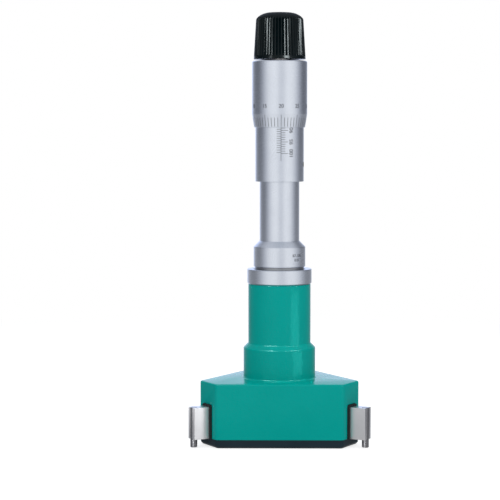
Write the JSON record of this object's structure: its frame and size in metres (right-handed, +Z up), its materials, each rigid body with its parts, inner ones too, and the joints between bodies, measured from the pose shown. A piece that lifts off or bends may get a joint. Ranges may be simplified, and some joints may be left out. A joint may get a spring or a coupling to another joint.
{
  "type": "inside micrometer",
  "caption": "Three-point inside micrometer: a triangular head whose cone-driven anvils spread to touch a bore, read on a sleeve and thimble with a ratchet cap.",
  "frame": {"origin": "where the spindle axis meets the underside of the base plate", "axes": "+Z up the spindle axis to the ratchet cap, -Y out of the head's front flat, +Y along the rear anvil"},
  "size_m": [0.079, 0.0687, 0.1884],
  "materials": {
    "green_paint": "glossy enamel",
    "satin_chrome": "satin chrome",
    "ground_steel": "ground",
    "hard_metal": "lapped hard metal",
    "dark_plate": "dark satin oxide",
    "black_plastic": "moulded black",
    "black_rubber": "black rubber",
    "bronze": "turned bronze",
    "spring_steel": "plain steel"
  },
  "bodies": {
    "head": {"head_body": "green_paint", "hub_tube": "green_paint", "hub_screws": "spring_steel", "base_plate": "dark_plate", "base_screws": "spring_steel", "anvil_seal_left": "black_rubber", "anvil_seal_right": "black_rubber", "anvil_seal_rear": "black_rubber", "rod_bush": "bronze", "coupling_ring": "satin_chrome", "collar_washer": "spring_steel", "barrel": "satin_chrome", "guide_bush": "bronze", "adjusting_nut": "spring_steel"},
    "sleeve": {"sleeve": "satin_chrome"},
    "plunger": {"expander_cone": "ground_steel", "push_rod": "ground_steel", "thrust_ball": "ground_steel", "rod_collar": "spring_steel", "return_spring": "spring_steel"},
    "thimble": {"spindle": "ground_steel", "thimble": "satin_chrome", "thimble_nut": "spring_steel", "ratchet_stud": "spring_steel"},
    "ratchet_knob": {"ratchet_cap": "black_plastic", "cap_circlip": "spring_steel", "ratchet_spring": "spring_steel"},
    "ratchet_ring": {"ratchet_ring": "spring_steel"},
    "anvil_left": {"anvil_left": "ground_steel", "contact_pin_left": "hard_metal", "anvil_spring_left": "spring_steel"},
    "anvil_right": {"anvil_right": "ground_steel", "contact_pin_right": "hard_metal", "anvil_spring_right": "spring_steel"},
    "anvil_rear": {"anvil_rear": "ground_steel", "contact_pin_rear": "hard_metal", "anvil_spring_rear": "spring_steel"}
  },
  "joints": [
    {"name": "sleeve_set", "type": "hinge", "parent": "head", "child": "sleeve", "pos_m": [0, 0, 0.13], "axis": [0, 0, 1], "range_deg": [-20, 20]},
    {"name": "spindle_feed", "type": "slide", "parent": "head", "child": "plunger", "axis": [0, 0, -1], "range_m": [-0.0017, 0.0113], "deforming": ["return_spring"]},
    {"name": "thimble_turn", "type": "hinge", "parent": "plunger", "child": "thimble", "pos_m": [0, 0, 0.15], "axis": [0, 0, -1], "range_deg": [-1224.01, 8136.01]},
    {"name": "ratchet_slip", "type": "hinge", "parent": "thimble", "child": "ratchet_knob", "pos_m": [0, 0, 0.175], "axis": [0, 0, -1], "continuous": true},
    {"name": "ratchet_lift", "type": "slide", "parent": "ratchet_knob", "child": "ratchet_ring", "axis": [0, 0, 1], "range_m": [0, 0.0008], "stiffness_N_per_m": 300, "springref_m": -0.004, "deforming": ["ratchet_spring"]},
    {"name": "anvil_left_slide", "type": "slide", "parent": "head", "child": "anvil_left", "axis": [-0.866, -0.5, 0], "range_m": [-0.00085, 0.00565], "deforming": ["anvil_spring_left"]},
    {"name": "anvil_right_slide", "type": "slide", "parent": "head", "child": "anvil_right", "axis": [0.866, -0.5, 0], "range_m": [-0.00085, 0.00565], "deforming": ["anvil_spring_right"]},
    {"name": "anvil_rear_slide", "type": "slide", "parent": "head", "child": "anvil_rear", "axis": [0, 1, 0], "range_m": [-0.00085, 0.00565], "deforming": ["anvil_spring_rear"]}
  ],
  "couplings": [
    {"joint": "thimble_turn", "follows": "spindle_feed", "rad_per_m": 12566},
    {"joint": "anvil_left_slide", "follows": "spindle_feed", "ratio": 0.5},
    {"joint": "anvil_right_slide", "follows": "spindle_feed", "ratio": 0.5},
    {"joint": "anvil_rear_slide", "follows": "spindle_feed", "ratio": 0.5}
  ]
}
